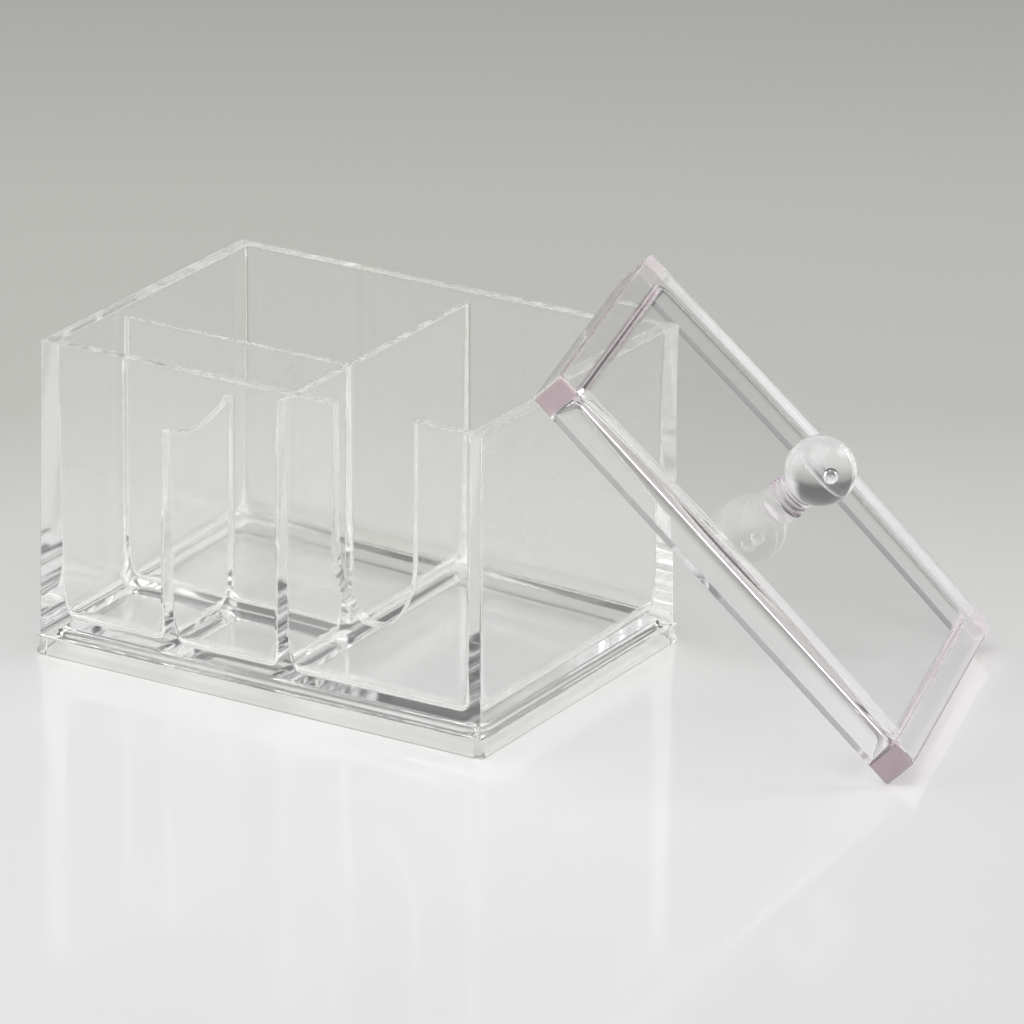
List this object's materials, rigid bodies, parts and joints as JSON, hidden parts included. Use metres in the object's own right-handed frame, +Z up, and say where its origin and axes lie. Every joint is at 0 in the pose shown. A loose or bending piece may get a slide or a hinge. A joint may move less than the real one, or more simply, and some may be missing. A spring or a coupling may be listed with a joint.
{
  "type": "bathroom storage container",
  "caption": "Clear plastic bathroom storage box on a stepped base, divided into compartments, with a finger notch in front and a ball-knobbed lid leaning against its end.",
  "frame": {"origin": "centre of the base's flat underside, on the table", "axes": "+Z up; -Y towards the notched front wall; +X along the box towards the end that the lid leans against"},
  "size_m": [0.3217, 0.184, 0.137],
  "materials": {
    "box_acrylic": "clear polished acrylic, very faintly green in its edges",
    "lid_acrylic": "clear polished acrylic, faintly pink in its edges",
    "knob_acrylic": "clear polished acrylic, turned and flame-bright"
  },
  "bodies": {
    "box": {"base_plate": "box_acrylic", "floor_plate": "box_acrylic", "left_wall": "box_acrylic", "right_wall": "box_acrylic", "back_wall": "box_acrylic", "front_wall": "box_acrylic", "cross_divider": "box_acrylic", "long_divider": "box_acrylic", "low_divider": "box_acrylic"},
    "lid": {"lid_plate": "lid_acrylic", "lid_upper_end_bar": "lid_acrylic", "lid_lower_end_bar": "lid_acrylic", "lid_front_bar": "lid_acrylic", "lid_back_bar": "lid_acrylic", "knob_neck": "knob_acrylic", "knob_ball": "knob_acrylic"}
  },
  "joints": [
    {"name": "lid_lift", "type": "slide", "parent": "box", "child": "lid", "axis": [0, 0, 1], "range_m": [0, 0.15]}
  ]
}
